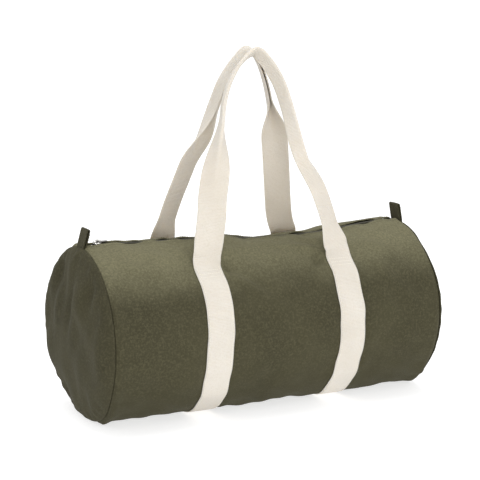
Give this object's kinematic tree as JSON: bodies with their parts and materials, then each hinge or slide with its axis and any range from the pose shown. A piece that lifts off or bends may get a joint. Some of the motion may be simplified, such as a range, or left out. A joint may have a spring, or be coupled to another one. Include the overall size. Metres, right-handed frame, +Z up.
{
  "type": "duffel bag",
  "caption": "Barrel-shaped canvas duffel bag with a zip along the top, round end panels, webbing straps round the body and upright carrying handles.",
  "frame": {"origin": "centre of the bag's footprint on the ground", "axes": "+X along the barrel towards its right end, +Z up, -Y is the front"},
  "size_m": [0.541, 0.2522, 0.5098],
  "materials": {
    "canvas": "matte woven cotton",
    "binding_tape": "matte cotton tape",
    "zip_tape": "matte polyester tape",
    "zip_coil": "satin nylon",
    "zip_metal": "polished nickel",
    "pull_metal": "dark nickel",
    "webbing": "matte natural cotton",
    "thread": "matte thread",
    "label": "satin woven tape"
  },
  "bodies": {
    "bag": {"body_panel": "canvas", "end_panel_left": "canvas", "end_panel_right": "canvas", "seam_binding_left": "binding_tape", "seam_binding_right": "binding_tape", "zip_top_stop_front": "zip_metal", "zip_top_stop_rear": "zip_metal", "zip_bottom_stop": "zip_metal", "strap_left": "webbing", "strap_right": "webbing", "box_stitch_front_left": "thread", "box_stitch_front_right": "thread", "box_stitch_rear_left": "thread", "box_stitch_rear_right": "thread", "side_label": "label"},
    "mouth_front": {"mouth_panel_front": "canvas", "zip_tape_front": "zip_tape", "zip_coil_front": "zip_coil"},
    "mouth_rear": {"mouth_panel_rear": "canvas", "zip_tape_rear": "zip_tape", "zip_coil_rear": "zip_coil"},
    "slider": {"zip_slider": "zip_metal"},
    "pull": {"zip_pull": "pull_metal"},
    "front_handle": {"handle_front": "webbing"},
    "rear_handle": {"handle_rear": "webbing"},
    "left_loop": {"end_loop_left": "canvas"},
    "right_loop": {"end_loop_right": "canvas"}
  },
  "joints": [
    {"name": "zip_slide", "type": "slide", "parent": "bag", "child": "slider", "axis": [1, 0, 0], "range_m": [0, 0.455], "deforming": ["zip_tape_front", "zip_tape_rear", "zip_coil_front", "zip_coil_rear"]},
    {"name": "pull_swing", "type": "hinge", "parent": "slider", "child": "pull", "pos_m": [-0.234, 0, 0.24885], "axis": [0, -1, 0], "range_deg": [0, 110]},
    {"name": "mouth_front_fold", "type": "hinge", "parent": "bag", "child": "mouth_front", "pos_m": [0, -0.07426, 0.21955], "axis": [1, 0, 0], "range_deg": [0, 30]},
    {"name": "mouth_rear_fold", "type": "hinge", "parent": "bag", "child": "mouth_rear", "pos_m": [0, 0.07426, 0.21955], "axis": [1, 0, 0], "range_deg": [-30, 0]},
    {"name": "front_handle_swing", "type": "hinge", "parent": "bag", "child": "front_handle", "pos_m": [0, -0.07655, 0.22259], "axis": [1, 0, 0], "range_deg": [0, 130]},
    {"name": "rear_handle_swing", "type": "hinge", "parent": "bag", "child": "rear_handle", "pos_m": [0, 0.07655, 0.22259], "axis": [1, 0, 0], "range_deg": [-130, 0]},
    {"name": "left_loop_bend", "type": "hinge", "parent": "bag", "child": "left_loop", "pos_m": [-0.2545, 0, 0.2472], "axis": [0, -1, 0], "range_deg": [-20, 90], "stiffness_Nm_per_rad": 0.002},
    {"name": "right_loop_bend", "type": "hinge", "parent": "bag", "child": "right_loop", "pos_m": [0.2545, 0, 0.2472], "axis": [0, 1, 0], "range_deg": [-20, 90], "stiffness_Nm_per_rad": 0.002}
  ],
  "couplings": [
    {"joint": "mouth_front_fold", "follows": "zip_slide", "rad_per_m": 1.1507},
    {"joint": "mouth_rear_fold", "follows": "zip_slide", "rad_per_m": -1.1507}
  ]
}
